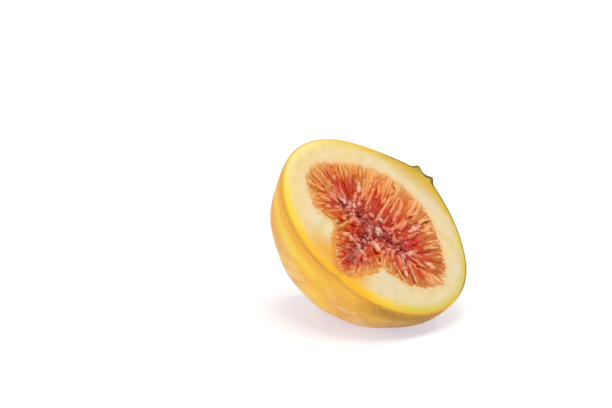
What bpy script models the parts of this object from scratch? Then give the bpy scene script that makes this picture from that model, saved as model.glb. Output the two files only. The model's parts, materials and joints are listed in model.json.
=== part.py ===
"""One half of a ripe yellow fig, cut lengthwise from its stem to its eye.

The half lies on its round side, on a patch where the soft fruit has slumped flat, so its cut face
looks forwards (-Y) and up. It grew as one piece, so it is one solid. Metres, +Z up, with the
origin in the middle of the resting patch.

The fruit is first made upright, with its stem up (+Z), its widest ring near z = 0, its cut face on
the plane y = 0 looking to -Y, and its round side behind. Then it is rolled and leant back.
"""

import math

import bmesh
import bpy
from mathutils import Matrix, Vector
from mathutils.geometry import interpolate_bezier

# The fruit, upright
HALF_WIDTH = 0.0258          # centre line to skin at the widest ring
WIDEST_Z = -0.0010           # height of the widest ring
EYE_Z = -0.0232              # the eye end's lowest point
EYE_RADIUS = 0.0024          # ring of skin round the eye
EYE_DEPTH = 0.0006           # dimple inside that ring
SHOULDER_BEND = (0.0146, 0.0188)   # the shoulder curves from the collar's foot towards here
BELLY_TOP_Z = 0.0115         # the belly curves from this height down to BELLY_LOW_Z
BELLY_LOW_Z = -0.0130
EYE_END_RADIUS = 0.0146      # the eye end starts to round over towards the belly here
COLLAR_FOOT = (0.0041, 0.0233)   # radius and height where the stem's collar meets the shoulder
COLLAR_CREST = (0.0022, 0.0254)  # radius and height of the collar's rim
SCAR_Z = 0.0245              # bottom of the dry scar where the stem broke off
NECK_START_Z = 0.0120        # above this height the neck sways to +X
NECK_SWAY = 0.0015           # how far it has swayed at the collar's rim
DEPTH_RATIO = 0.97           # depth of the half to half its width: the fruit is a little flat
RIBS = 11                    # faint lengthwise ribs round the whole fruit
RIB_HEIGHT = 0.00022

# The pulp on the cut face
PULP_WIDE = 0.0256           # the ellipse that pulp_reach() is a share of
PULP_LONG = 0.0234
PULP_SINK = 0.0005           # how far the middle of the pulp lies under the cut
PULP_EDGE_SINK = 0.0001      # and its edge, where it meets the flesh
FURROW = 0.00025             # furrows between the rows of florets, to each side of that depth
FLORET_ROWS = 44
CUTTER_FRONT = 0.002         # how far the pulp's cutter stands out of the cut

# How the half lies
ROLL = math.radians(63.7)    # the stem turned in the plane of the cut, from straight up
LEAN_BACK = math.radians(45.5)   # the cut face leant back from upright
SLUMP = 0.0022               # how much of the round side is pressed flat

# Fineness
CURVE_POINTS = 14            # points on each long stretch of the profile
SHORT_POINTS = 5             # points on each short one, at the scar, the collar and the eye
TURN_STEPS = 90
PULP_RINGS = 12
BLOCK = 0.2                  # side of the cutting blocks
MERGE = 0.00002


def clear_scene():
    for thing in list(bpy.data.objects):
        bpy.data.objects.remove(thing, do_unlink=True)


def new_collection(name, shown=True):
    collection = bpy.data.collections.new(name)
    bpy.context.scene.collection.children.link(collection)
    collection.hide_render = not shown
    return collection


def new_material(name, colour, roughness):
    material = bpy.data.materials.new(name)
    material.use_nodes = True
    shader = material.node_tree.nodes["Principled BSDF"]
    shader.inputs["Base Color"].default_value = (*colour, 1.0)
    shader.inputs["Roughness"].default_value = roughness
    shader.inputs["Metallic"].default_value = 0.0
    return material


def new_object(name, mesh, collection, *materials):
    thing = bpy.data.objects.new(name, mesh)
    collection.objects.link(thing)
    for material in materials:
        mesh.materials.append(material)
    return thing


def bump(value, middle, width):
    """A smooth hump: 1 at the middle, and nearly 0 past two widths from it."""
    return math.exp(-(((value - middle) / width) ** 2))


def skin_profile():
    """Radius and height along the skin, from the scar at the stem down to the eye."""
    foot_radius, foot_z = COLLAR_FOOT
    crest_radius, crest_z = COLLAR_CREST
    stretches = [
        # across the scar and up its wall
        [(0, SCAR_Z), (0.5 * crest_radius, SCAR_Z), (0.7 * crest_radius, crest_z), COLLAR_CREST],
        # over the collar's rim and down to the shoulder
        [COLLAR_CREST, (1.3 * crest_radius, crest_z), (0.75 * foot_radius, 1.01 * foot_z),
         COLLAR_FOOT],
        # the sloping shoulder, out to the widest ring
        [COLLAR_FOOT, SHOULDER_BEND, (HALF_WIDTH, BELLY_TOP_Z), (HALF_WIDTH, WIDEST_Z)],
        # the round belly, down to the ring round the eye
        [(HALF_WIDTH, WIDEST_Z), (HALF_WIDTH, BELLY_LOW_Z), (EYE_END_RADIUS, EYE_Z),
         (EYE_RADIUS, EYE_Z)],
        # into the eye
        [(EYE_RADIUS, EYE_Z), (0.5 * EYE_RADIUS, EYE_Z), (0.4 * EYE_RADIUS, EYE_Z + EYE_DEPTH),
         (0, EYE_Z + EYE_DEPTH)],
    ]
    counts = [SHORT_POINTS, SHORT_POINTS, CURVE_POINTS, CURVE_POINTS, SHORT_POINTS]
    points = []
    for corners, count in zip(stretches, counts):
        curve = interpolate_bezier(*[Vector((r, 0, z)) for r, z in corners], count)
        points += curve if not points else curve[1:]
    return points


def turned_mesh(name, profile, steps):
    """The solid or sheet that a profile in the XZ plane makes when it turns round Z."""
    mesh = bpy.data.meshes.new(name)
    mesh.from_pydata(profile, [(i, i + 1) for i in range(len(profile) - 1)], [])
    thing = bpy.data.objects.new(name, mesh)
    bpy.context.scene.collection.objects.link(thing)
    screw = thing.modifiers.new("turn", "SCREW")
    screw.steps = steps
    screw.render_steps = steps
    screw.use_merge_vertices = True
    screw.merge_threshold = MERGE
    graph = bpy.context.evaluated_depsgraph_get()
    turned = bpy.data.meshes.new_from_object(thing.evaluated_get(graph))
    bpy.data.objects.remove(thing, do_unlink=True)
    return turned


def neck_sway(z):
    """How far the neck has moved to +X at that height."""
    share = min(1.0, max(0.0, (z - NECK_START_Z) / (COLLAR_CREST[1] - NECK_START_Z)))
    return NECK_SWAY * share * share * (3 - 2 * share)


def whole_fruit():
    """The turned fruit, a little flat from front to back, with faint ribs that fade at both ends."""
    mesh = turned_mesh("fig_half", skin_profile(), TURN_STEPS)
    for vertex in mesh.vertices:
        x, y, z = vertex.co
        radius = math.hypot(x, y)
        away_from_ends = min(1.0, radius / HALF_WIDTH) ** 2
        rib = -RIB_HEIGHT * away_from_ends * math.cos(RIBS * math.atan2(y, x))
        grown = 1.0 + rib / max(radius, RIB_HEIGHT)
        vertex.co = (x * grown + neck_sway(z), y * grown * DEPTH_RATIO, z)
    mesh.shade_smooth()
    return mesh


def pulp_reach(from_eye):
    """The pulp's share of the way from centre to rim, by the angle in degrees away from the eye."""
    return (
        0.67
        + 0.145 * bump(from_eye, 84, 25)    # the two broad sides
        - 0.13 * bump(from_eye, 36, 11)     # a notch of white flesh on each side of the eye
        + 0.23 * bump(from_eye, 0, 13.5)    # the tongue that runs out to the eye
    )


def pulp_cutter():
    """A shallow block with a furrowed underside: what it takes away leaves the sunken pulp."""
    spokes = 2 * FLORET_ROWS
    ring_line = [Vector((i / PULP_RINGS, 0, 0)) for i in range(PULP_RINGS + 1)]
    mesh = turned_mesh("pulp_cutter", ring_line, spokes)
    for vertex in mesh.vertices:
        share = math.hypot(vertex.co.x, vertex.co.y)
        angle = math.atan2(vertex.co.x, -vertex.co.y)   # 0 towards the eye
        ellipse = 1 / math.hypot(math.sin(angle) / PULP_WIDE, math.cos(angle) / PULP_LONG)
        reach = share * ellipse * pulp_reach(abs(math.degrees(angle)))
        furrow = FURROW * math.cos(FLORET_ROWS * angle) * share ** 2 * (1 - share ** 8)
        depth = PULP_SINK + (PULP_EDGE_SINK - PULP_SINK) * share ** 4 + furrow
        vertex.co = (reach * math.sin(angle), depth, -reach * math.cos(angle))
    work = bmesh.new()
    work.from_mesh(mesh)
    raised = bmesh.ops.extrude_face_region(work, geom=work.faces[:])
    for part in raised["geom"]:
        if isinstance(part, bmesh.types.BMVert):
            part.co.y = -CUTTER_FRONT
    bmesh.ops.recalc_face_normals(work, faces=work.faces[:])
    work.to_mesh(mesh)
    work.free()
    return mesh


def block(name, low_corner):
    """A cube of side BLOCK with its lowest corner there."""
    mesh = bpy.data.meshes.new(name)
    work = bmesh.new()
    middle = Vector(low_corner) + Vector((BLOCK, BLOCK, BLOCK)) / 2
    bmesh.ops.create_cube(work, size=BLOCK, matrix=Matrix.Translation(middle))
    work.to_mesh(mesh)
    work.free()
    return mesh


def cut(body, cutter, name):
    """Takes the cutter away from the body. The new faces get the cutter's material."""
    cutter.hide_render = True
    cutter.display_type = "WIRE"
    modifier = body.modifiers.new(name, "BOOLEAN")
    modifier.operation = "DIFFERENCE"
    modifier.solver = "EXACT"
    modifier.material_mode = "TRANSFER"
    modifier.object = cutter


def lying_matrix(mesh):
    """Rolls the upright fruit, leans it back and sets its lowest point under the origin by SLUMP."""
    turn = Matrix.Rotation(-LEAN_BACK, 4, "X") @ Matrix.Rotation(ROLL, 4, "Y")
    behind_cut = [turn @ vertex.co for vertex in mesh.vertices if vertex.co.y > 0]
    lowest = min(behind_cut, key=lambda point: point.z)
    return Matrix.Translation((-lowest.x, -lowest.y, -lowest.z - SLUMP)) @ turn


clear_scene()
fig = new_collection("fresh_fig_half")
cutters = new_collection("cutters", shown=False)

skin = new_material("skin", (0.80, 0.52, 0.09), 0.42)
flesh = new_material("flesh", (0.93, 0.84, 0.55), 0.5)
pulp = new_material("pulp", (0.62, 0.13, 0.06), 0.3)

fig_half = new_object("fig_half", whole_fruit(), fig, skin)
lying = lying_matrix(fig_half.data)
fig_half.matrix_world = lying

front = new_object("front_half", block("front_half", (-BLOCK / 2, -BLOCK, -BLOCK / 2)), cutters, flesh)
front.matrix_world = lying
cut(fig_half, front, "cut_lengthwise")

sunken = new_object("pulp_cutter", pulp_cutter(), cutters, pulp)
sunken.matrix_world = lying
cut(fig_half, sunken, "sink_the_pulp")

below = new_object("below_the_table", block("below_the_table", (-BLOCK / 2, -BLOCK / 2, -BLOCK)),
                   cutters, skin)
cut(fig_half, below, "press_flat")
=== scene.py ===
import json
import math
import random

import bmesh
import bpy
import numpy as np
from mathutils import Matrix, Vector, noise


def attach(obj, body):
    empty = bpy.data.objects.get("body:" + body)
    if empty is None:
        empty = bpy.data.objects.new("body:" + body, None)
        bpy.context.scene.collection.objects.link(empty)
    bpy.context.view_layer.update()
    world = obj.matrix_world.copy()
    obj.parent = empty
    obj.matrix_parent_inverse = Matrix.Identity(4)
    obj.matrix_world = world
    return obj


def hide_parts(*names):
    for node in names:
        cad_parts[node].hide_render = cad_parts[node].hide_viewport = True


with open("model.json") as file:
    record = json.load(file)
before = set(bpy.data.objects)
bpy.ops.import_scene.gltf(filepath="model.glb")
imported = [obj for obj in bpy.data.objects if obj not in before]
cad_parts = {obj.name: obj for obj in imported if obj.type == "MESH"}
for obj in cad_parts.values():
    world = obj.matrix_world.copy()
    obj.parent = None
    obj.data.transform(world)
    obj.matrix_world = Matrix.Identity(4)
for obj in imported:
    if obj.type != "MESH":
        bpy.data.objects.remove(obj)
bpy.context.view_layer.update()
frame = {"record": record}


# ================================================================ body: skin and flesh
# A ripe yellow fig grows as one body, a thin waxy skin over pale firm flesh. The knife has cut
# it lengthwise, so its outline is turned only half way round the stem, and the flat cut closes
# it. The cut's outer edge is a little round, and in its middle a hollow holds the pulp.
MM = 0.001
HALF_WIDTH = 25.8 * MM
WIDEST_Z = -1.0 * MM
EYE_Z = -23.2 * MM
EYE_RADIUS = 2.4 * MM
EYE_DEPTH = 0.6 * MM
SCAR_Z = 24.5 * MM
CREST = (2.2 * MM, 25.4 * MM)            # radius and height of the collar's rim round the scar
FOOT = (4.1 * MM, 23.3 * MM)             # and of its foot, where the shoulder starts
SHOULDER_BEND = (14.6 * MM, 18.8 * MM)   # the shoulder curves towards here
BELLY_TOP_Z = 11.5 * MM
BELLY_LOW_Z = -13.0 * MM
EYE_END_RADIUS = 14.6 * MM
NECK_START_Z = 12.0 * MM
NECK_SWAY = 1.5 * MM
DEPTH_RATIO = 0.97
RIBS = 11
RIB_HEIGHT = 0.22 * MM
PULP_WIDE = 25.6 * MM      # the ellipse that pulp_reach() is a share of
PULP_LONG = 23.4 * MM
SPINE_HALF = 9.0 * MM      # the pulp's middle line: a bar from side to side, and a leg to the eye
SPINE_Z = -3.0 * MM
SPINE_FOOT = -16.0 * MM
WITHIN_FRAME = 0.9985      # keeps the skin just inside the frame's box

SPIN_STEPS = 170
MERGE = 0.01 * MM
RIM_RINGS = ((0.05, 0.55), (0.12, 0.35), (0.12, 0.25), (0.14, 0.0))
FLESH_SHARES = (0.02, 0.03, 0.05, 0.08, 0.12, 0.15, 0.18, 0.22, 0.28, 0.4, 0.5, 0.6, 0.8, 1.0)
HOLLOW_STEPS = 30
HOLLOW_DEPTH = 0.42        # millimetres under the cut
WALL_FOOT = 0.86           # the share of the pulp's reach where the hollow is that deep

CUT = next(mount for mount in frame["record"]["mounts"] if mount["name"] == "cut_face")
CUT_ON_FACE = Vector((12.1 * MM, 0, -14.5 * MM))   # that mount's place on the upright cut
STEM_TURN = math.radians(63.7)
LEAN_BACK = math.asin(CUT["axis"][2])
LYING_TURN = Matrix.Rotation(-LEAN_BACK, 3, "X") @ Matrix.Rotation(STEM_TURN, 3, "Y")
LYING_PLACE = Vector(CUT["pos_m"]) - LYING_TURN @ CUT_ON_FACE
RIM_ANGLE = math.radians(0.9)   # how far round from the cut the skin starts, to leave a round rim
PATCH_SOFTNESS = 0.7 * MM       # how gently the skin turns into the patch that it rests on


def start_fresh():
    if bpy.context.object and bpy.context.object.mode != "OBJECT":
        bpy.ops.object.mode_set(mode="OBJECT")
    bpy.ops.object.select_all(action="DESELECT")


def smoothstep(low, high, value):
    share = np.clip((np.asarray(value) - low) / (high - low), 0, 1)
    return share * share * (3 - 2 * share)


def hump(value, middle, width):
    return np.exp(-(((value - middle) / width) ** 2))


def points_of(mesh):
    points = np.empty(len(mesh.vertices) * 3)
    mesh.vertices.foreach_get("co", points)
    return points.reshape(-1, 3)


def move_points(mesh, points):
    mesh.vertices.foreach_set("co", np.ascontiguousarray(points, np.float32).ravel())
    mesh.update()


def give_values(mesh, name, values):
    kind = "FLOAT_VECTOR" if np.ndim(values) == 2 else "FLOAT"
    attribute = mesh.attributes.new(name, kind, "POINT")
    attribute.data.foreach_set("vector" if kind == "FLOAT_VECTOR" else "value",
                               np.ascontiguousarray(values, np.float32).ravel())


def lay_down(points):
    """Takes points from the upright fruit to where the half lies, its underside slumped flat."""
    points = points @ np.array(LYING_TURN).T * WITHIN_FRAME + np.array(LYING_PLACE)
    low = np.clip(0.5 + 0.5 * points[:, 2] / PATCH_SOFTNESS, 0, 1)
    points[:, 2] = points[:, 2] * low + PATCH_SOFTNESS * low * (1 - low)
    return points


def pulp_reach(from_eye):
    """The pulp's share of the ellipse, by the angle in degrees from the eye."""
    return (
        0.67
        + 0.145 * hump(from_eye, 84, 25)    # the two broad sides
        - 0.13 * hump(from_eye, 36, 11)     # a notch of white flesh on each side of the eye
        + 0.23 * hump(from_eye, 0, 13.5)    # the tongue that runs out to the eye
    )


def pulp_edge(angle):
    """Distance from the middle of the cut to the pulp's edge. The angle is 0 towards the eye."""
    ellipse = 1 / np.hypot(np.sin(angle) / PULP_WIDE, np.cos(angle) / PULP_LONG)
    turned = np.abs((np.degrees(angle) + 180) % 360 - 180)
    return ellipse * pulp_reach(turned)


def outline_curve():
    """The fruit's outline from the stem's scar down to the eye: each knot with its two handles."""
    knots = [
        ((0, SCAR_Z), (0, SCAR_Z), (0.5 * CREST[0], SCAR_Z)),
        (CREST, (0.7 * CREST[0], CREST[1]), (1.3 * CREST[0], CREST[1])),
        (FOOT, (0.75 * FOOT[0], 1.01 * FOOT[1]), SHOULDER_BEND),
        ((HALF_WIDTH, WIDEST_Z), (HALF_WIDTH, BELLY_TOP_Z), (HALF_WIDTH, BELLY_LOW_Z)),
        ((EYE_RADIUS, EYE_Z), (EYE_END_RADIUS, EYE_Z), (0.5 * EYE_RADIUS, EYE_Z)),
        ((0, EYE_Z + EYE_DEPTH), (0.4 * EYE_RADIUS, EYE_Z + EYE_DEPTH), (0, EYE_Z + EYE_DEPTH)),
    ]
    bpy.ops.curve.primitive_bezier_curve_add()
    curve = bpy.context.object
    spline = curve.data.splines[0]
    spline.bezier_points.add(len(knots) - 2)
    spline.resolution_u = 30
    for point, (knot, before, after) in zip(spline.bezier_points, knots):
        point.handle_left_type = point.handle_right_type = "FREE"
        point.co = (knot[0], 0, knot[1])
        point.handle_left = (before[0], 0, before[1])
        point.handle_right = (after[0], 0, after[1])
    return curve


def extrude_ring(piece, place, kind):
    """Extrudes the selected loop, puts its points where place() says, and marks the new faces."""
    bpy.ops.mesh.extrude_edges_move()
    mesh = bmesh.from_edit_mesh(piece.data)
    for vertex in mesh.verts:
        if vertex.select:
            vertex.co = place(vertex.co)
            for face in vertex.link_faces:
                face.material_index = kind
    bmesh.update_edit_mesh(piece.data)


def rim_ring(inwards, behind):
    """A ring of the rounded rim: how far in it lies, in millimetres at the widest place, and
    which share of the last ring's distance behind the cut it keeps."""
    def place(point):
        reach = math.hypot(point.x, point.z)
        grown = 1 - inwards * MM * abs(point.x) / HALF_WIDTH / reach
        return Vector((point.x * grown, point.y * behind, point.z * grown))
    return place


def flesh_ring(share):
    """A ring on the flat cut, by its share of the way that is left to the pulp's edge."""
    def place(point):
        reach = math.hypot(point.x, point.z)
        edge = float(pulp_edge(math.atan2(point.x, -point.z)))
        grown = 1 + (edge / reach - 1) * share
        return Vector((point.x * grown, 0, point.z * grown))
    return place


def hollow_ring(share, depth):
    """A ring inside the hollow, by its share of the pulp's reach."""
    def place(point):
        angle = math.atan2(point.x, -point.z)
        reach = float(pulp_edge(angle)) * share
        return Vector((math.sin(angle) * reach, depth * MM, -math.cos(angle) * reach))
    return place


SKIN, FLESH, HOLLOW = range(3)
start_fresh()
body = outline_curve()
bpy.ops.object.convert(target="MESH")
body.name = body.data.name = "fig_body"
bpy.ops.object.mode_set(mode="EDIT")
bpy.ops.mesh.select_mode(type="EDGE")
bpy.ops.mesh.select_all(action="SELECT")
bpy.ops.transform.rotate(value=-RIM_ANGLE, orient_axis="Z", center_override=(0, 0, 0))
bpy.ops.mesh.spin(steps=SPIN_STEPS, angle=-(math.pi - 2 * RIM_ANGLE), center=(0, 0, 0),
                  axis=(0, 0, 1))
bpy.ops.mesh.select_all(action="SELECT")
bpy.ops.mesh.remove_doubles(threshold=MERGE)
bpy.ops.mesh.select_all(action="DESELECT")
bpy.ops.mesh.select_non_manifold(extend=False, use_wire=False, use_boundary=True,
                                 use_multi_face=False, use_non_contiguous=False, use_verts=False)
for inwards, behind in RIM_RINGS:
    extrude_ring(body, rim_ring(inwards, behind), FLESH)
for share in FLESH_SHARES:
    extrude_ring(body, flesh_ring(share), FLESH)
for step in range(1, HOLLOW_STEPS):
    share = 1 - step / HOLLOW_STEPS
    depth = HOLLOW_DEPTH * float(smoothstep(1.0, WALL_FOOT, share))
    extrude_ring(body, hollow_ring(share, depth), HOLLOW)
bpy.ops.mesh.merge(type="CENTER")
bpy.ops.mesh.select_all(action="SELECT")
bpy.ops.mesh.normals_make_consistent(inside=False)
bpy.ops.object.mode_set(mode="OBJECT")

# The upright fruit is faintly ribbed, a little flat from front to back, and its neck sways.
points = points_of(body.data)
x, y, z = points.T
turn = np.arctan2(y, x)
radius = np.hypot(x, y)
rib = -RIB_HEIGHT * np.minimum(1, radius / HALF_WIDTH) ** 2 * np.cos(RIBS * turn)
grown = 1 + rib / np.maximum(radius, RIB_HEIGHT)
upright = np.column_stack((x * grown + NECK_SWAY * smoothstep(NECK_START_Z, CREST[1], z),
                           y * grown * DEPTH_RATIO, z))

is_skin = np.zeros(len(points), bool)
for face in body.data.polygons:
    if face.material_index == SKIN:
        is_skin[list(face.vertices)] = True


BATCH = 2000   # points measured at once


def nearest_distance(points, line):
    """Each point's distance in millimetres to the nearest point of a line on the cut."""
    found = np.empty(len(points))
    for start in range(0, len(points), BATCH):
        part = points[start:start + BATCH, None, [0, 2]] - line[None, :, [0, 2]]
        found[start:start + BATCH] = np.sqrt((part ** 2).sum(2).min(1))
    return found / MM


angles = np.radians(np.arange(0, 360, 0.5))
outwards = np.column_stack((np.sin(angles), 0 * angles, -np.cos(angles)))
EDGE_LINE = outwards * pulp_edge(angles)[:, None]
SPINE_LINE = np.array([(x, 0, SPINE_Z) for x in np.linspace(-SPINE_HALF, SPINE_HALF, 61)]
                      + [(0, 0, z) for z in np.linspace(SPINE_Z, SPINE_FOOT, 45)])
NEAR_CUT = 0.5 * MM
FAR = 9.0   # millimetres, past the reach of every stain
on_cut = ~is_skin
rim_line = upright[is_skin & (np.abs(upright[:, 1]) < NEAR_CUT)]
from_skin = np.zeros(len(points))
from_pulp = np.full(len(points), FAR)
from_skin[on_cut] = nearest_distance(upright[on_cut], rim_line)
reach = np.hypot(x, z)
inside = np.where(reach < pulp_edge(np.arctan2(x, -z)), -1, 1)
from_pulp[on_cut] = nearest_distance(upright[on_cut], EDGE_LINE) * inside[on_cut]


def pulp_share(points):
    """How far each point is from the pulp's middle line, as a share of the way to its edge."""
    to_wall = nearest_distance(points, EDGE_LINE)
    to_spine = nearest_distance(points, SPINE_LINE)
    return to_spine / (to_spine + to_wall)


share_in = np.ones(len(points))
share_in[on_cut] = pulp_share(upright[on_cut])

# Small dents on the skin, and pits in the hollow's floor.
BROAD_DENT = 7 * MM        # how wide the dents are
SMALL_DENT = 2.6 * MM
DENT_DEPTH = 0.09 * MM
DENT_SWING = 0.08 * MM
PIT = 0.9 * MM             # how wide the pits are
PIT_DEPTH = 0.3 * MM
dent = np.array([noise.noise(Vector(p) / BROAD_DENT) + 0.5 * noise.noise(Vector(p) / SMALL_DENT)
                 for p in upright])
outward = np.column_stack((upright[:, 0], upright[:, 1], 0.6 * upright[:, 2]))
outward /= np.maximum(np.linalg.norm(outward, axis=1), MM)[:, None]
away_from_rim = smoothstep(NEAR_CUT, 4 * MM, upright[:, 1])
upright -= outward * (is_skin * away_from_rim * (DENT_DEPTH + DENT_SWING * dent))[:, None]
pit = np.array([noise.noise(Vector(p) / PIT) for p in upright])
upright[:, 1] += on_cut * smoothstep(-0.4, -2.0, from_pulp) * PIT_DEPTH * pit

give_values(body.data, "upright", upright / MM)
give_values(body.data, "meridian", np.column_stack((np.cos(turn), np.sin(turn), z / HALF_WIDTH)))
give_values(body.data, "from_skin", from_skin)
give_values(body.data, "from_pulp", from_pulp)
give_values(body.data, "share", share_in)
move_points(body.data, lay_down(upright))


def colour(code):
    """A hex colour as linear light, for a shader's socket."""
    parts = [int(code[i:i + 2], 16) / 255 for i in (0, 2, 4)]
    return [p / 12.92 if p <= 0.04045 else ((p + 0.055) / 1.055) ** 2.4 for p in parts] + [1.0]


def plug(tree, source, socket):
    """Links a node's output to a socket, or sets the socket to a colour code or a number."""
    if isinstance(source, bpy.types.NodeSocket):
        tree.links.new(source, socket)
    elif isinstance(source, str):
        socket.default_value = colour(source)
    else:
        socket.default_value = source


def read(tree, name, part="Fac"):
    node = tree.nodes.new("ShaderNodeAttribute")
    node.attribute_name = name
    return node.outputs[part]


def blend(tree, share, first, second, kind="MIX"):
    node = tree.nodes.new("ShaderNodeMix")
    node.data_type = "RGBA"
    node.blend_type = kind
    plug(tree, share, node.inputs[0])
    plug(tree, first, node.inputs[6])
    plug(tree, second, node.inputs[7])
    return node.outputs[2]


def span(tree, value, low, high, start=0.0, end=1.0):
    """A smooth step from start, where the value is low, to end, where it is high."""
    node = tree.nodes.new("ShaderNodeMapRange")
    node.interpolation_type = "SMOOTHSTEP"
    plug(tree, value, node.inputs["Value"])
    for name, number in (("From Min", low), ("From Max", high), ("To Min", start), ("To Max", end)):
        node.inputs[name].default_value = number
    return node.outputs["Result"]


def sums(tree, kind, first, second):
    node = tree.nodes.new("ShaderNodeMath")
    node.operation = kind
    plug(tree, first, node.inputs[0])
    plug(tree, second, node.inputs[1])
    return node.outputs[0]


def mottle(tree, place, size, detail=3.0, stretch=(1, 1, 1), roughness=0.55):
    """Soft uneven patches about size across, in the units of the place that they are read from."""
    scale = tree.nodes.new("ShaderNodeMapping")
    scale.inputs["Scale"].default_value = stretch
    pattern = tree.nodes.new("ShaderNodeTexNoise")
    pattern.inputs["Scale"].default_value = 1 / size
    pattern.inputs["Detail"].default_value = detail
    pattern.inputs["Roughness"].default_value = roughness
    tree.links.new(place, scale.inputs["Vector"])
    tree.links.new(scale.outputs["Vector"], pattern.inputs["Vector"])
    return pattern.outputs["Fac"]


def times(tree, first, *others):
    for other in others:
        first = sums(tree, "MULTIPLY", first, other)
    return first


def parts_of(tree, vector):
    node = tree.nodes.new("ShaderNodeSeparateXYZ")
    tree.links.new(vector, node.inputs[0])
    return node.outputs


def bumped(tree, height, strength, depth):
    node = tree.nodes.new("ShaderNodeBump")
    node.inputs["Strength"].default_value = strength
    node.inputs["Distance"].default_value = depth
    tree.links.new(height, node.inputs["Height"])
    return node.outputs["Normal"]


def new_material(name, **finish):
    """A material whose shader's own sockets are set to the finish."""
    material = bpy.data.materials.new(name)
    material.use_nodes = True
    shader = material.node_tree.nodes["Principled BSDF"]
    for socket, value in finish.items():
        shader.inputs[socket.replace("_", " ")].default_value = value
    return material, material.node_tree, shader.inputs


def new_group(name, inputs, outputs):
    """An empty node group, with the names and kinds of its inputs and outputs."""
    group = bpy.data.node_groups.new(name, "ShaderNodeTree")
    for socket, kind in inputs.items():
        group.interface.new_socket(socket, in_out="INPUT", socket_type="NodeSocket" + kind)
    for socket, kind in outputs.items():
        group.interface.new_socket(socket, in_out="OUTPUT", socket_type="NodeSocket" + kind)
    given = group.nodes.new("NodeGroupInput").outputs
    return group, given, group.nodes.new("NodeGroupOutput").inputs


def use_group(tree, group, **inputs):
    node = tree.nodes.new("ShaderNodeGroup")
    node.node_tree = group
    for name, value in inputs.items():
        plug(tree, value, node.inputs[name])
    return node.outputs


# The juice that the pulp sinks into, by the share of the way from its middle line to the wall.
juice, given, result = new_group("juice", {"Share": "Float", "Place": "Vector"},
                                 {"Colour": "Color"})
uneven = span(juice, mottle(juice, given["Place"], 2.5, 3.0), 0.3, 0.7, -0.12, 0.12)
wander = sums(juice, "ADD", given["Share"], uneven)
juice_hue = blend(juice, span(juice, wander, 0.0, 0.18), "820C08", "A8200E")
juice_hue = blend(juice, span(juice, wander, 0.15, 0.4), juice_hue, "C42806")
stem_side = span(juice, parts_of(juice, given["Place"])[0], 2, 10)
half_way = blend(juice, stem_side, "DE6C1E", "C8520E")
juice_hue = blend(juice, span(juice, wander, 0.45, 0.8), juice_hue, half_way)
at_wall = blend(juice, stem_side, "EA9C54", "BE672A")
juice_hue = blend(juice, span(juice, wander, 0.7, 0.93), juice_hue, at_wall)
plug(juice, juice_hue, result["Colour"])


def specks(tree, place, spacing, size):
    """1 in small round dots, about that far apart, and 0 between them."""
    pattern = tree.nodes.new("ShaderNodeTexVoronoi")
    pattern.inputs["Scale"].default_value = 1 / spacing
    tree.links.new(place, pattern.inputs["Vector"])
    return span(tree, pattern.outputs["Distance"], size / spacing, 0.5 * size / spacing)


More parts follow.
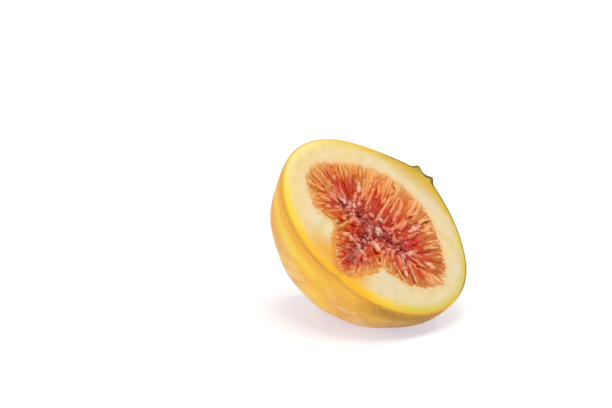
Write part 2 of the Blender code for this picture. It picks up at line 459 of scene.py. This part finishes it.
def skin_material():
    """Waxy skin: yellow at the eye, olive at the stem, veined lengthwise; painted shade makes it
    ochre on the back and the lower right.
    """
    material, tree, shader = new_material("fig_skin", Specular_IOR_Level=0.1, Coat_Weight=0.03,
                                          Coat_Roughness=0.3, Subsurface_Weight=0.1,
                                          Subsurface_Scale=1.5 * MM)
    place = read(tree, "upright", "Vector")
    meridian = read(tree, "meridian", "Vector")
    side, behind, height = parts_of(tree, place)
    eye_end = span(tree, height, 5, -5)
    broad = mottle(tree, place, 15.0, 2.0, (1, 1, 0.6))
    streak = mottle(tree, meridian, 0.2, 4.0, (1, 1, 0.35), 0.65)
    vein = mottle(tree, meridian, 0.07, 4.0, (1, 1, 0.12), 0.6)
    fine = mottle(tree, place, 0.8, 3.0)
    hue = blend(tree, span(tree, broad, 0.36, 0.64), "FFDA48", "FBBC30")
    uneven = sums(tree, "ADD", side, span(tree, broad, 0.3, 0.7, -5, 5))
    orange = times(tree, span(tree, uneven, -10, -22, 0, 0.8), span(tree, height, 10, -4, 0.2, 1.0))
    hue = blend(tree, orange, hue, "FBA416")
    # Painted shade: the skin turns darker ochre towards its lower right side.
    hue = blend(tree, span(tree, uneven, -2, 9, 0, 0.7), hue, "E6A648")
    hue = blend(tree, span(tree, uneven, 7, 19, 0, 0.9), hue, "A67826")
    # Painted shade: the round back, underneath where the half lies, and the stem's half turn a
    # duller ochre.
    round_back_shade = sums(tree, "MAXIMUM", span(tree, behind, 8, 18), span(tree, height, 0, 8))
    back = blend(tree, eye_end, "D39A34", "F0B450")
    hue = blend(tree, times(tree, round_back_shade, 0.7), hue, back)
    calm = span(tree, height, -16, -22, 1.0, 0.35)
    streaked = times(tree, span(tree, streak, 0.5, 0.64, 0, 0.5), calm)
    hue = blend(tree, streaked, hue, "DE9050")
    rosy = times(tree, span(tree, behind, 4, 9), span(tree, streak, 0.4, 0.56, 0, 0.7), calm,
                 span(tree, side, -20, -13, 0.3, 1.0))
    hue = blend(tree, rosy, hue, blend(tree, eye_end, "D39660", "EAB07C"))
    pale = times(tree, span(tree, mottle(tree, place, 6.0, 2.0, (1, 1, 0.5)), 0.45, 0.7),
                 span(tree, behind, 2, 8, 0, 0.5), eye_end)
    hue = blend(tree, pale, hue, "FFDCA0")
    hue = blend(tree, span(tree, height, 9, 22, 0, 0.85), hue, "A99A3A")
    bright = times(tree, span(tree, behind, 2.4, 4.2), span(tree, behind, 7.5, 5.0), eye_end,
                   span(tree, side, 4, -8, 0, 0.6))
    hue = blend(tree, bright, hue, "FFDE4A")
    near_rim = times(tree, span(tree, behind, 3.4, 1.4), span(tree, side, 14, -4, 0, 0.45), eye_end)
    hue = blend(tree, near_rim, hue, "F0B04E")
    # Painted shade: dark ochre along the rim on the lower right, at the eye end.
    low_rim_shade = times(tree, span(tree, behind, 4.0, 1.0), span(tree, side, 9, 16, 0, 0.85), eye_end)
    hue = blend(tree, low_rim_shade, hue, "A87A22")
    # Painted shade of a crease: a darker orange line right along the rim towards the eye.
    crease_shade = times(tree, span(tree, behind, 1.8, 0.4), span(tree, height, 0, -8, 0.2, 0.6))
    hue = blend(tree, crease_shade, hue, "D8922E")
    veined = times(tree, span(tree, vein, 0.5, 0.64), span(tree, behind, 4, 16, 0.04, 0.5), calm)
    hue = blend(tree, veined, hue, "C4863A")
    paler = times(tree, span(tree, vein, 0.46, 0.36), span(tree, behind, 3, 14, 0.05, 0.4), calm)
    hue = blend(tree, paler, hue, "F6CE72")
    hue = blend(tree, span(tree, fine, 0.45, 0.75, 0, 0.2), hue, "FFE08A")
    dots = times(tree, specks(tree, place, 1.3, 0.32), span(tree, behind, 1, 9, 0.0, 0.3))
    hue = blend(tree, dots, hue, "FCE3A0")
    scar = times(tree, span(tree, height, 23.6, 24.8), span(tree, side, 1.0, 2.2, 0.5, 0.85))
    hue = blend(tree, scar, hue, "7D5F28")
    plug(tree, hue, shader["Base Color"])
    plug(tree, span(tree, fine, 0.3, 0.7, 0.42, 0.58), shader["Roughness"])
    relief = times(tree, vein, span(tree, behind, 3, 14, 0.1, 0.9))
    grain = sums(tree, "ADD", mottle(tree, place, 0.35, 4.0), relief)
    plug(tree, bumped(tree, grain, 0.3, 0.14 * MM), shader["Normal"])
    return material


FLESH_EDGE = "E2BE86"
EYE_EDGE = "DE8A24"


def edge_stain(tree, height):
    """The flesh's colour where it meets the pulp: golden towards the eye."""
    return blend(tree, span(tree, height, -9, -15), FLESH_EDGE, EYE_EDGE)


def ragged_edge(tree, pulp_near, place):
    """The distance from the pulp, unevenly, so that its stain creeps in and out of the flesh."""
    uneven = span(tree, mottle(tree, place, 0.9, 3.0), 0.3, 0.7, -0.6, 0.6)
    return sums(tree, "ADD", pulp_near, uneven)


def flesh_material():
    """Cut flesh: cream, yellow under the skin, mustard in the neck and golden round the eye."""
    material, tree, shader = new_material("fig_flesh", Specular_IOR_Level=0.05, Coat_Weight=0.01,
                                          Coat_Roughness=0.2, Subsurface_Weight=0.2,
                                          Subsurface_Scale=1.5 * MM)
    place = read(tree, "upright", "Vector")
    side, _, height = parts_of(tree, place)
    skin_near = read(tree, "from_skin")
    pulp_near = read(tree, "from_pulp")
    patches = mottle(tree, place, 3.0, 3.0)
    hue = blend(tree, span(tree, patches, 0.35, 0.7), "DECB9A", "D6C08C")
    hue = blend(tree, span(tree, mottle(tree, place, 7.0, 2.0), 0.42, 0.62, 0, 0.6), hue, "DACBB2")
    hue = blend(tree, span(tree, side, -8, -18, 0, 0.45), hue, "EAC67A")
    yellow = blend(tree, span(tree, height, -23, -17), "EEB41C", "F0CC3E")
    left = times(tree, span(tree, side, -8, -18), span(tree, height, -14, -4))
    yellow = blend(tree, left, yellow, "F0DA86")
    # Painted shade: the yellow band turns darker olive towards the right side.
    yellow = blend(tree, span(tree, side, 8, 22), yellow, "CDB840")
    yellow = blend(tree, span(tree, height, 2, 20), yellow, "D4B838")
    wander = sums(tree, "ADD", skin_near, span(tree, patches, 0.3, 0.7, -0.5, 0.5))
    wander = sums(tree, "SUBTRACT", wander, span(tree, height, -9, -20, 0, 0.9))
    wander = sums(tree, "ADD", wander, span(tree, side, 8, 17, 0, 0.4))
    hue = blend(tree, span(tree, wander, 3.3, 0.5), hue, yellow)
    hue = blend(tree, span(tree, height, 16.5, 22.5, 0, 0.9), hue, "CCA42E")
    olive = times(tree, span(tree, height, 22.3, 24.2), span(tree, side, 1.5, -0.5, 0, 0.7))
    hue = blend(tree, olive, hue, "8F9038")
    eye = times(tree, span(tree, height, -13, -19), span(tree, side, -15, -6),
                span(tree, side, 10, 3), span(tree, skin_near, 0.8, 4.0, 0.3, 0.9))
    hue = blend(tree, eye, hue, "E2A21A")
    dark_side = sums(tree, "ADD", side, times(tree, height, 0.5))
    dark_side = times(tree, span(tree, dark_side, -3, 5), span(tree, height, -3, 3))
    cut_skin = blend(tree, dark_side, "DDAC3C", "6E4C24")
    hue = blend(tree, span(tree, skin_near, 0.75, 0.3, 0, 0.75), hue, cut_skin)
    scar = times(tree, span(tree, height, 22.5, 23.8), span(tree, side, 0.6, 2.2),
                 span(tree, skin_near, 1.3, 0.3))
    hue = blend(tree, scar, hue, "6E4C20")
    stained = span(tree, ragged_edge(tree, pulp_near, place), 1.1, 0.0)
    hue = blend(tree, stained, hue, edge_stain(tree, height))
    plug(tree, hue, shader["Base Color"])
    plug(tree, span(tree, patches, 0.3, 0.7, 0.34, 0.46), shader["Roughness"])
    plug(tree, bumped(tree, mottle(tree, place, 0.5, 3.0), 0.15, 0.1 * MM), shader["Normal"])
    return material


def hollow_material():
    """The hollow's wet floor between the florets: crimson in the middle, orange at the flesh."""
    material, tree, shader = new_material("fig_hollow", Specular_IOR_Level=0.1, Coat_Weight=0.1,
                                          Coat_Roughness=0.1, Roughness=0.3, Subsurface_Weight=0.4,
                                          Subsurface_Radius=(1.0, 0.5, 0.4),
                                          Subsurface_Scale=0.5 * MM)
    place = read(tree, "upright", "Vector")
    hue = use_group(tree, juice, Share=read(tree, "share"), Place=place)["Colour"]
    hue = blend(tree, span(tree, mottle(tree, place, 0.9, 3.0), 0.48, 0.62, 0, 0.6), hue, "8E1A0C")
    inwards = ragged_edge(tree, read(tree, "from_pulp"), place)
    stain = edge_stain(tree, parts_of(tree, place)[2])
    plug(tree, blend(tree, span(tree, inwards, -0.9, 0.0), hue, stain), shader["Base Color"])
    return material


kinds = np.empty(len(body.data.polygons), np.int32)
body.data.polygons.foreach_get("material_index", kinds)
for material in (skin_material(), flesh_material(), hollow_material()):
    body.data.materials.append(material)
body.data.polygons.foreach_set("material_index", kinds)
start_fresh()
body.select_set(True)
bpy.context.view_layer.objects.active = body
bpy.ops.object.shade_smooth()
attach(body, "root")
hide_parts("fig_half")


# ================================================================ florets
# The pulp is hundreds of small fleshy flowers, grown on long stalks from the wall of the hollow
# towards its middle. The knife has laid them open: golden at the wall, red half way, crimson and
# jumbled in the middle.
SEED = 41
draw = random.Random(SEED)
noise.seed_set(SEED)     # noise_vector would start from the clock without it
SIDES = 6
FLOW_SIZE = 8 * MM       # how far apart the florets lean one way and then the other
FLOW = 2.6               # and by how many millimetres at most
FULL_SLACK = 6 * MM      # shorter stalks than this bend less
FULL_WIDTH = 13 * MM     # where the wall is nearer to the middle line, stalks are thinner
TIP_SINK = 0.2 * MM


def grow_shape(name, profile):
    """A closed strand of unit length, extruded ring by ring from a disc.

    The profile gives each ring's height and radius.
    """
    start_fresh()
    bpy.ops.mesh.primitive_circle_add(vertices=SIDES, radius=profile[0][1], fill_type="NGON")
    shape = bpy.context.object
    shape.name = name
    bpy.ops.object.mode_set(mode="EDIT")
    for (low, thin), (high, thick) in zip(profile, profile[1:]):
        bpy.ops.mesh.extrude_region_move(TRANSFORM_OT_translate={"value": (0, 0, high - low)})
        bpy.ops.transform.resize(value=(thick / thin, thick / thin, 1),
                                 center_override=(0, 0, high))
    bpy.ops.mesh.select_all(action="SELECT")
    bpy.ops.mesh.normals_make_consistent(inside=False)
    bpy.ops.object.mode_set(mode="OBJECT")
    bpy.ops.object.shade_smooth()
    return shape


def spine_target(point):
    """Where on the pulp's middle line a stalk from that point of the wall heads."""
    half_way = np.array(point) / 2
    return Vector(SPINE_LINE[((SPINE_LINE - half_way) ** 2).sum(1).argmin()])


def bent_copy(shape, route, width, flat, tone):
    """Adds a copy of the shape, bent along a cubic curve of four points in the upright fruit."""
    piece = shape.copy()
    piece.data = shape.data.copy()
    bpy.context.scene.collection.objects.link(piece)
    cross = points_of(piece.data)
    along = np.clip(cross[:, 2], 0, 1)[:, None]
    first, second, third, fourth = [np.array(point) for point in route]
    back = 1 - along
    centre = (back ** 3 * first + 3 * back ** 2 * along * second
              + 3 * back * along ** 2 * third + along ** 3 * fourth)
    heading = (back ** 2 * (second - first) + 2 * back * along * (third - second)
               + along ** 2 * (fourth - third))
    heading /= np.linalg.norm(heading, axis=1)[:, None]
    aside = np.cross(heading, (0, -1, 0))
    aside /= np.linalg.norm(aside, axis=1)[:, None]
    upward = np.cross(aside, heading)
    uneven, beads, phase = draw.uniform(0.1, 0.3), draw.uniform(5, 12), draw.uniform(0, 6)
    swell = width * (1 + uneven * np.sin(along * beads + phase))
    length = (Vector(route[3]) - Vector(route[0])).length
    waves = draw.uniform(0.9, 1.5) * length / (4 * MM)
    wobble = draw.uniform(0.03, 0.2) * MM * min(1.0, length / (5 * MM))
    centre = centre + wobble * np.sin(along * waves * math.tau + draw.uniform(0, 6)) * aside
    # Aside, upward and heading are a left-handed set, so x is turned round to keep faces outwards.
    move_points(piece.data, centre + swell * (flat * cross[:, 1:2] * upward - cross[:, :1] * aside))
    give_values(piece.data, "side", np.abs(cross[:, 0]))
    give_values(piece.data, "lift", cross[:, 1])
    give_values(piece.data, "tone", np.full(len(cross), tone))
    strands.append(piece)


def edge_places(count, offset):
    """Points at even distances along the pulp's edge."""
    steps = np.linalg.norm(np.diff(EDGE_LINE, axis=0, append=EDGE_LINE[:1]), axis=1)
    walked = np.cumsum(steps)
    for index in range(count):
        at = ((index + offset + draw.uniform(-0.3, 0.3)) / count) % 1 * walked[-1]
        yield Vector(EDGE_LINE[min(np.searchsorted(walked, at), len(walked) - 1)])


def lay_row(shapes, count, offset, starts, ends, widths, depth, bow, tones=(0.0, 0.9)):
    """A row of stalks round the pulp, each from one share of the way in to another.

    Widths are radii. They, the depth under the cut and the bow are in millimetres.
    """
    for wall in edge_places(count, offset):
        way = spine_target(wall) - wall
        aside = Vector((-way.z, 0, way.x)).normalized()
        start, end = draw.uniform(*starts), draw.uniform(*ends)
        level = Vector((0, draw.gauss(depth, 0.06) * MM, 0))
        shift = aside * draw.gauss(0, 0.25) * MM
        flow = noise.noise_vector(wall / FLOW_SIZE) * FLOW
        slack = min(1.0, way.length * (end - start) / FULL_SLACK) ** 2
        bends = [aside * (flow[i] + draw.gauss(0, bow)) * slack * MM for i in range(3)]
        sunk = Vector((0, TIP_SINK, 0))
        slim = min(1.0, 0.3 + way.length / FULL_WIDTH)
        route = [
            wall + way * start + shift + bends[0] * 0.4 + level,
            wall + way * (start + 0.33 * (end - start)) + shift + bends[1] + level - 0.3 * sunk,
            wall + way * (start + 0.67 * (end - start)) + shift + bends[2] + level - 0.3 * sunk,
            wall + way * end + level + bends[1] + sunk,
        ]
        bent_copy(draw.choice(shapes), route, draw.uniform(*widths) * slim * MM,
                  draw.uniform(0.55, 0.8), draw.uniform(*tones))


def lay_loops(shape, count, offset, short, long, gaps, widths, depth):
    """Stalks that turn back on themselves at the wall, one leg short and the other one longer."""
    for wall in edge_places(count, offset):
        way = spine_target(wall) - wall
        inward = way.normalized() * MM
        aside = Vector((-way.z, 0, way.x)).normalized() * draw.choice((-1, 1)) * MM
        level = Vector((0, draw.gauss(depth, 0.05) * MM, 0))
        near, far = draw.uniform(*short), min(draw.uniform(*long), 0.8 * way.length / MM)
        gap = draw.uniform(*gaps)
        turn = draw.uniform(0.5, 1.1) - (near + far) / 6
        route = [wall + inward * near + aside * gap * 0.8 + level,
                 wall + inward * turn + aside * gap * 1.1 + level,
                 wall + inward * turn - aside * gap * 0.5 + level,
                 wall + inward * far + aside * draw.gauss(0, 0.6) + level * 1.3]
        bent_copy(shape, route, draw.uniform(*widths) * MM, draw.uniform(0.6, 0.8),
                  draw.uniform(0.2, 0.9))


def lay_berries(shape, count, lengths, widths, depths, spread, tones=(0.0, 1.0)):
    """Loose drupelets turned all ways about the middle line."""
    for _ in range(count):
        middle = Vector(draw.choice(SPINE_LINE))
        middle += Vector((draw.gauss(0, spread), draw.uniform(*depths), draw.gauss(0, spread))) * MM
        heading = draw.uniform(0, math.tau)
        half = draw.uniform(*lengths) * MM / 2
        lean = Vector((math.cos(heading), draw.uniform(-0.3, 0.3), math.sin(heading))) * half
        bend = Vector((-math.sin(heading), 0, math.cos(heading))) * draw.gauss(0, 0.35) * half
        route = [middle - lean, middle - lean / 3 + bend, middle + lean / 3 + bend, middle + lean]
        bent_copy(shape, route, draw.uniform(*widths) * MM, 0.8, draw.uniform(*tones))


stalk = grow_shape("stalk", [(0, 0.25), (0.03, 0.76), (0.12, 0.97), (0.28, 1.0), (0.46, 0.97),
                             (0.64, 1.0), (0.8, 0.96), (0.93, 0.76), (1, 0.25)])
club = grow_shape("club", [(0, 0.25), (0.03, 0.5), (0.2, 0.66), (0.4, 0.8), (0.58, 0.98),
                           (0.75, 1.1), (0.88, 1.0), (0.96, 0.72), (1, 0.3)])
berry = grow_shape("berry", [(0, 0.25), (0.04, 0.58), (0.14, 0.85), (0.32, 1.0), (0.5, 1.03),
                             (0.7, 1.0), (0.87, 0.84), (0.96, 0.56), (1, 0.25)])
noodle = grow_shape("noodle", [(0, 0.25), (0.02, 0.7), (0.1, 0.95), (0.2, 1.0), (0.3, 1.0),
                               (0.38, 1.0), (0.46, 1.0), (0.54, 1.0), (0.62, 1.0), (0.74, 1.0),
                               (0.88, 0.9), (0.97, 0.6), (1, 0.25)])

# Layer by layer: stalks from the wall, clubbed ends further in, loops at the wall, and the
# jumble in the middle.
strands = []
lay_row([stalk, club], 62, 0.5, (-0.02, 0.03), (0.5, 0.75), (0.44, 0.6), 0.46, 0.6)
lay_row([club, berry], 40, 0.0, (0.35, 0.5), (0.8, 0.98), (0.44, 0.62), 0.44, 0.6)
lay_row([stalk], 46, 0.0, (-0.05, 0.0), (0.42, 0.7), (0.4, 0.58), 0.3, 0.6)
lay_row([berry], 48, 0.3, (-0.06, 0.05), (0.24, 0.42), (0.5, 0.85), 0.3, 0.9)
lay_loops(noodle, 32, 0.4, (1.8, 3.4), (4.0, 8.0), (1.4, 2.3), (0.34, 0.44), 0.16)
lay_row([club, stalk], 36, 0.3, (0.24, 0.42), (0.66, 0.9), (0.44, 0.64), 0.28, 0.6)
lay_row([berry], 34, 0.0, (0.2, 0.42), (0.5, 0.7), (0.5, 0.8), 0.26, 0.9)
lay_row([berry], 8, 0.6, (0.2, 0.36), (0.5, 0.64), (0.6, 0.85), 0.24, 0.3, (0.96, 1.0))
lay_row([berry, club], 24, 0.1, (0.45, 0.62), (0.82, 0.98), (0.5, 0.74), 0.3, 0.7)
lay_berries(berry, 110, (1.3, 2.6), (0.45, 0.85), (0.3, 0.5), 2.0)
lay_berries(berry, 110, (0.7, 1.5), (0.24, 0.42), (0.05, 0.3), 2.2)
lay_berries(berry, 9, (2.0, 3.2), (0.65, 0.95), (0.25, 0.4), 2.0, (0.95, 1.0))

start_fresh()
for piece in strands:
    piece.select_set(True)
bpy.context.view_layer.objects.active = strands[0]
bpy.ops.object.join()
florets = bpy.context.object
florets.name = florets.data.name = "florets"
for shape in (stalk, club, berry, noodle):
    bpy.data.objects.remove(shape)

upright = points_of(florets.data)
give_values(florets.data, "share", pulp_share(upright))
give_values(florets.data, "upright", upright / MM)
move_points(florets.data, lay_down(upright))


def floret_material():
    """Wet, translucent florets sunk in red juice; their pale outlines and crests are partly painted
    highlight.
    """
    material, tree, shader = new_material("floret", Specular_IOR_Level=0.05, Coat_Weight=0.25,
                                          Coat_Roughness=0.08, Subsurface_Weight=0.5,
                                          Subsurface_Radius=(1.0, 0.5, 0.4),
                                          Subsurface_Scale=0.4 * MM, Roughness=0.35)
    share = read(tree, "share")
    side = read(tree, "side")
    tone = read(tree, "tone")
    lift = read(tree, "lift")
    place = read(tree, "upright", "Vector")
    across, depth, height = parts_of(tree, place)
    sunk = use_group(tree, juice, Share=share, Place=place)["Colour"]
    crest = blend(tree, span(tree, share, 0.05, 0.4), "A83422", "C64A1A")
    crest = blend(tree, span(tree, share, 0.45, 0.85), crest, "D07428")
    # The florets' pale colour, made light enough to act as a painted highlight on their crests and
    # edges.
    pale_highlight = blend(tree, span(tree, share, 0.05, 0.45), "DC8270", "EA8E5C")
    pale_highlight = blend(tree, span(tree, share, 0.55, 0.9), pale_highlight, "F0B070")
    golden = times(tree, span(tree, across, 3, -9), span(tree, share, 0.3, 0.6, 0, 0.7))
    pale_highlight = blend(tree, golden, pale_highlight, "F0A04E")
    # Ridged florets: painted highlight along the top and the juice's red down the sides; lined ones
    # are pale at the edges.
    ridged = blend(tree, span(tree, lift, 0.0, 0.95), sunk, pale_highlight)
    lined = blend(tree, span(tree, side, 0.45, 0.95, 0.0, 0.9), crest, pale_highlight)
    hue = blend(tree, span(tree, tone, 0.4, 0.42), lined, ridged)
    hue = blend(tree, span(tree, tone, 0.0, 0.4, 0.8, 0.0), hue, sunk)
    white = times(tree, span(tree, tone, 0.91, 0.95), span(tree, lift, 0.1, 1.0), 0.8)
    hue = blend(tree, white, hue, "E8BAA4")
    hue = blend(tree, span(tree, mottle(tree, place, 1.4, 3.0), 0.5, 0.72, 0, 0.6), hue, sunk)
    hue = blend(tree, span(tree, mottle(tree, place, 5.0, 2.0), 0.48, 0.66, 0, 0.6), hue, sunk)
    hue = blend(tree, span(tree, depth, 0.1, 0.42), hue, sunk)
    hue = blend(tree, span(tree, height, -9, -15, 0, 0.45), hue, sunk)
    tip = blend(tree, span(tree, across, 2, 10), "EABE80", "E0A25E")
    tip = blend(tree, span(tree, height, -8, -14), tip, "DE8A34")
    hue = blend(tree, span(tree, share, 0.86, 1.0, 0, 0.6), hue, tip)
    plug(tree, hue, shader["Base Color"])
    plug(tree, bumped(tree, mottle(tree, place, 0.3, 2.0), 0.2, 0.1 * MM), shader["Normal"])
    return material


florets.data.materials.clear()
florets.data.materials.append(floret_material())
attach(florets, "root")
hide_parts("fig_half")


# ================================================================ floor, light and camera
# A plain white table in an even white room. A broad soft light hangs overhead, a little towards
# the viewer, and a small lamp on the right puts glints on the wet pulp. The camera stands low.
FLOOR_SIZE = 6.0
FLOOR_GLOW = 0.53
LIGHT_DISTANCE = 0.9
ROOM_LIGHT = 0.68   # how brightly the room lights the fruit
SEEN_ROOM = 1.2     # and how brightly the camera sees it
CAMERA_AIM = Vector((-0.0135, 0.0125, 0.0274))
CAMERA_AZIMUTH = math.radians(-42.7)
CAMERA_ELEVATION = math.radians(15)
CAMERA_DISTANCE = 0.3585
CAMERA_LENS = 90
CAMERA_SENSOR = 36
CAMERA_NEAR_CLIP = 0.01

start_fresh()
bpy.ops.mesh.primitive_plane_add(size=FLOOR_SIZE)
floor = bpy.context.object
floor.name = "floor"
material, tree, shader = new_material("white_table", Roughness=0.9, Specular_IOR_Level=0.1)
plug(tree, "D5CEBF", shader["Base Color"])
plug(tree, "D9E6FF", shader["Emission Color"])
plug(tree, FLOOR_GLOW, shader["Emission Strength"])
floor.data.materials.append(material)


def seen_from(azimuth, elevation):
    """The direction from the fruit to a viewer or a light there."""
    level = math.cos(elevation)
    return Vector((math.sin(azimuth) * level, -math.cos(azimuth) * level, math.sin(elevation)))


def soft_light(name, kind, azimuth, elevation, **settings):
    """A light that shines at the fruit from that direction, in degrees."""
    bpy.ops.object.light_add(type=kind)
    light = bpy.context.object
    light.name = name
    for setting, value in settings.items():
        setattr(light.data, setting, value)
    toward = seen_from(math.radians(azimuth), math.radians(elevation))
    light.location = CAMERA_AIM + toward * LIGHT_DISTANCE
    light.rotation_euler = toward.to_track_quat("Z", "Y").to_euler()


soft_light("overhead", "SUN", azimuth=-42, elevation=76, angle=math.radians(26), energy=1.2)
soft_light("sparkle", "AREA", azimuth=70, elevation=46, shape="DISK", size=0.06, energy=1.4)

world = bpy.data.worlds.new("studio")
bpy.context.scene.world = world
world.use_nodes = True
room = world.node_tree
background = room.nodes["Background"].inputs
to_camera = room.nodes.new("ShaderNodeLightPath").outputs["Is Camera Ray"]
plug(room, (1, 1, 1, 1), background["Color"])
plug(room, span(room, to_camera, 0, 1, ROOM_LIGHT, SEEN_ROOM), background["Strength"])

bpy.ops.object.camera_add()
camera = bpy.context.object
camera.data.lens = CAMERA_LENS
camera.data.sensor_width = CAMERA_SENSOR
camera.data.clip_start = CAMERA_NEAR_CLIP
toward = seen_from(CAMERA_AZIMUTH, CAMERA_ELEVATION)
camera.location = CAMERA_AIM + toward * CAMERA_DISTANCE
camera.rotation_euler = toward.to_track_quat("Z", "Y").to_euler()
bpy.context.scene.camera = camera
bpy.context.scene.view_settings.view_transform = "Standard"
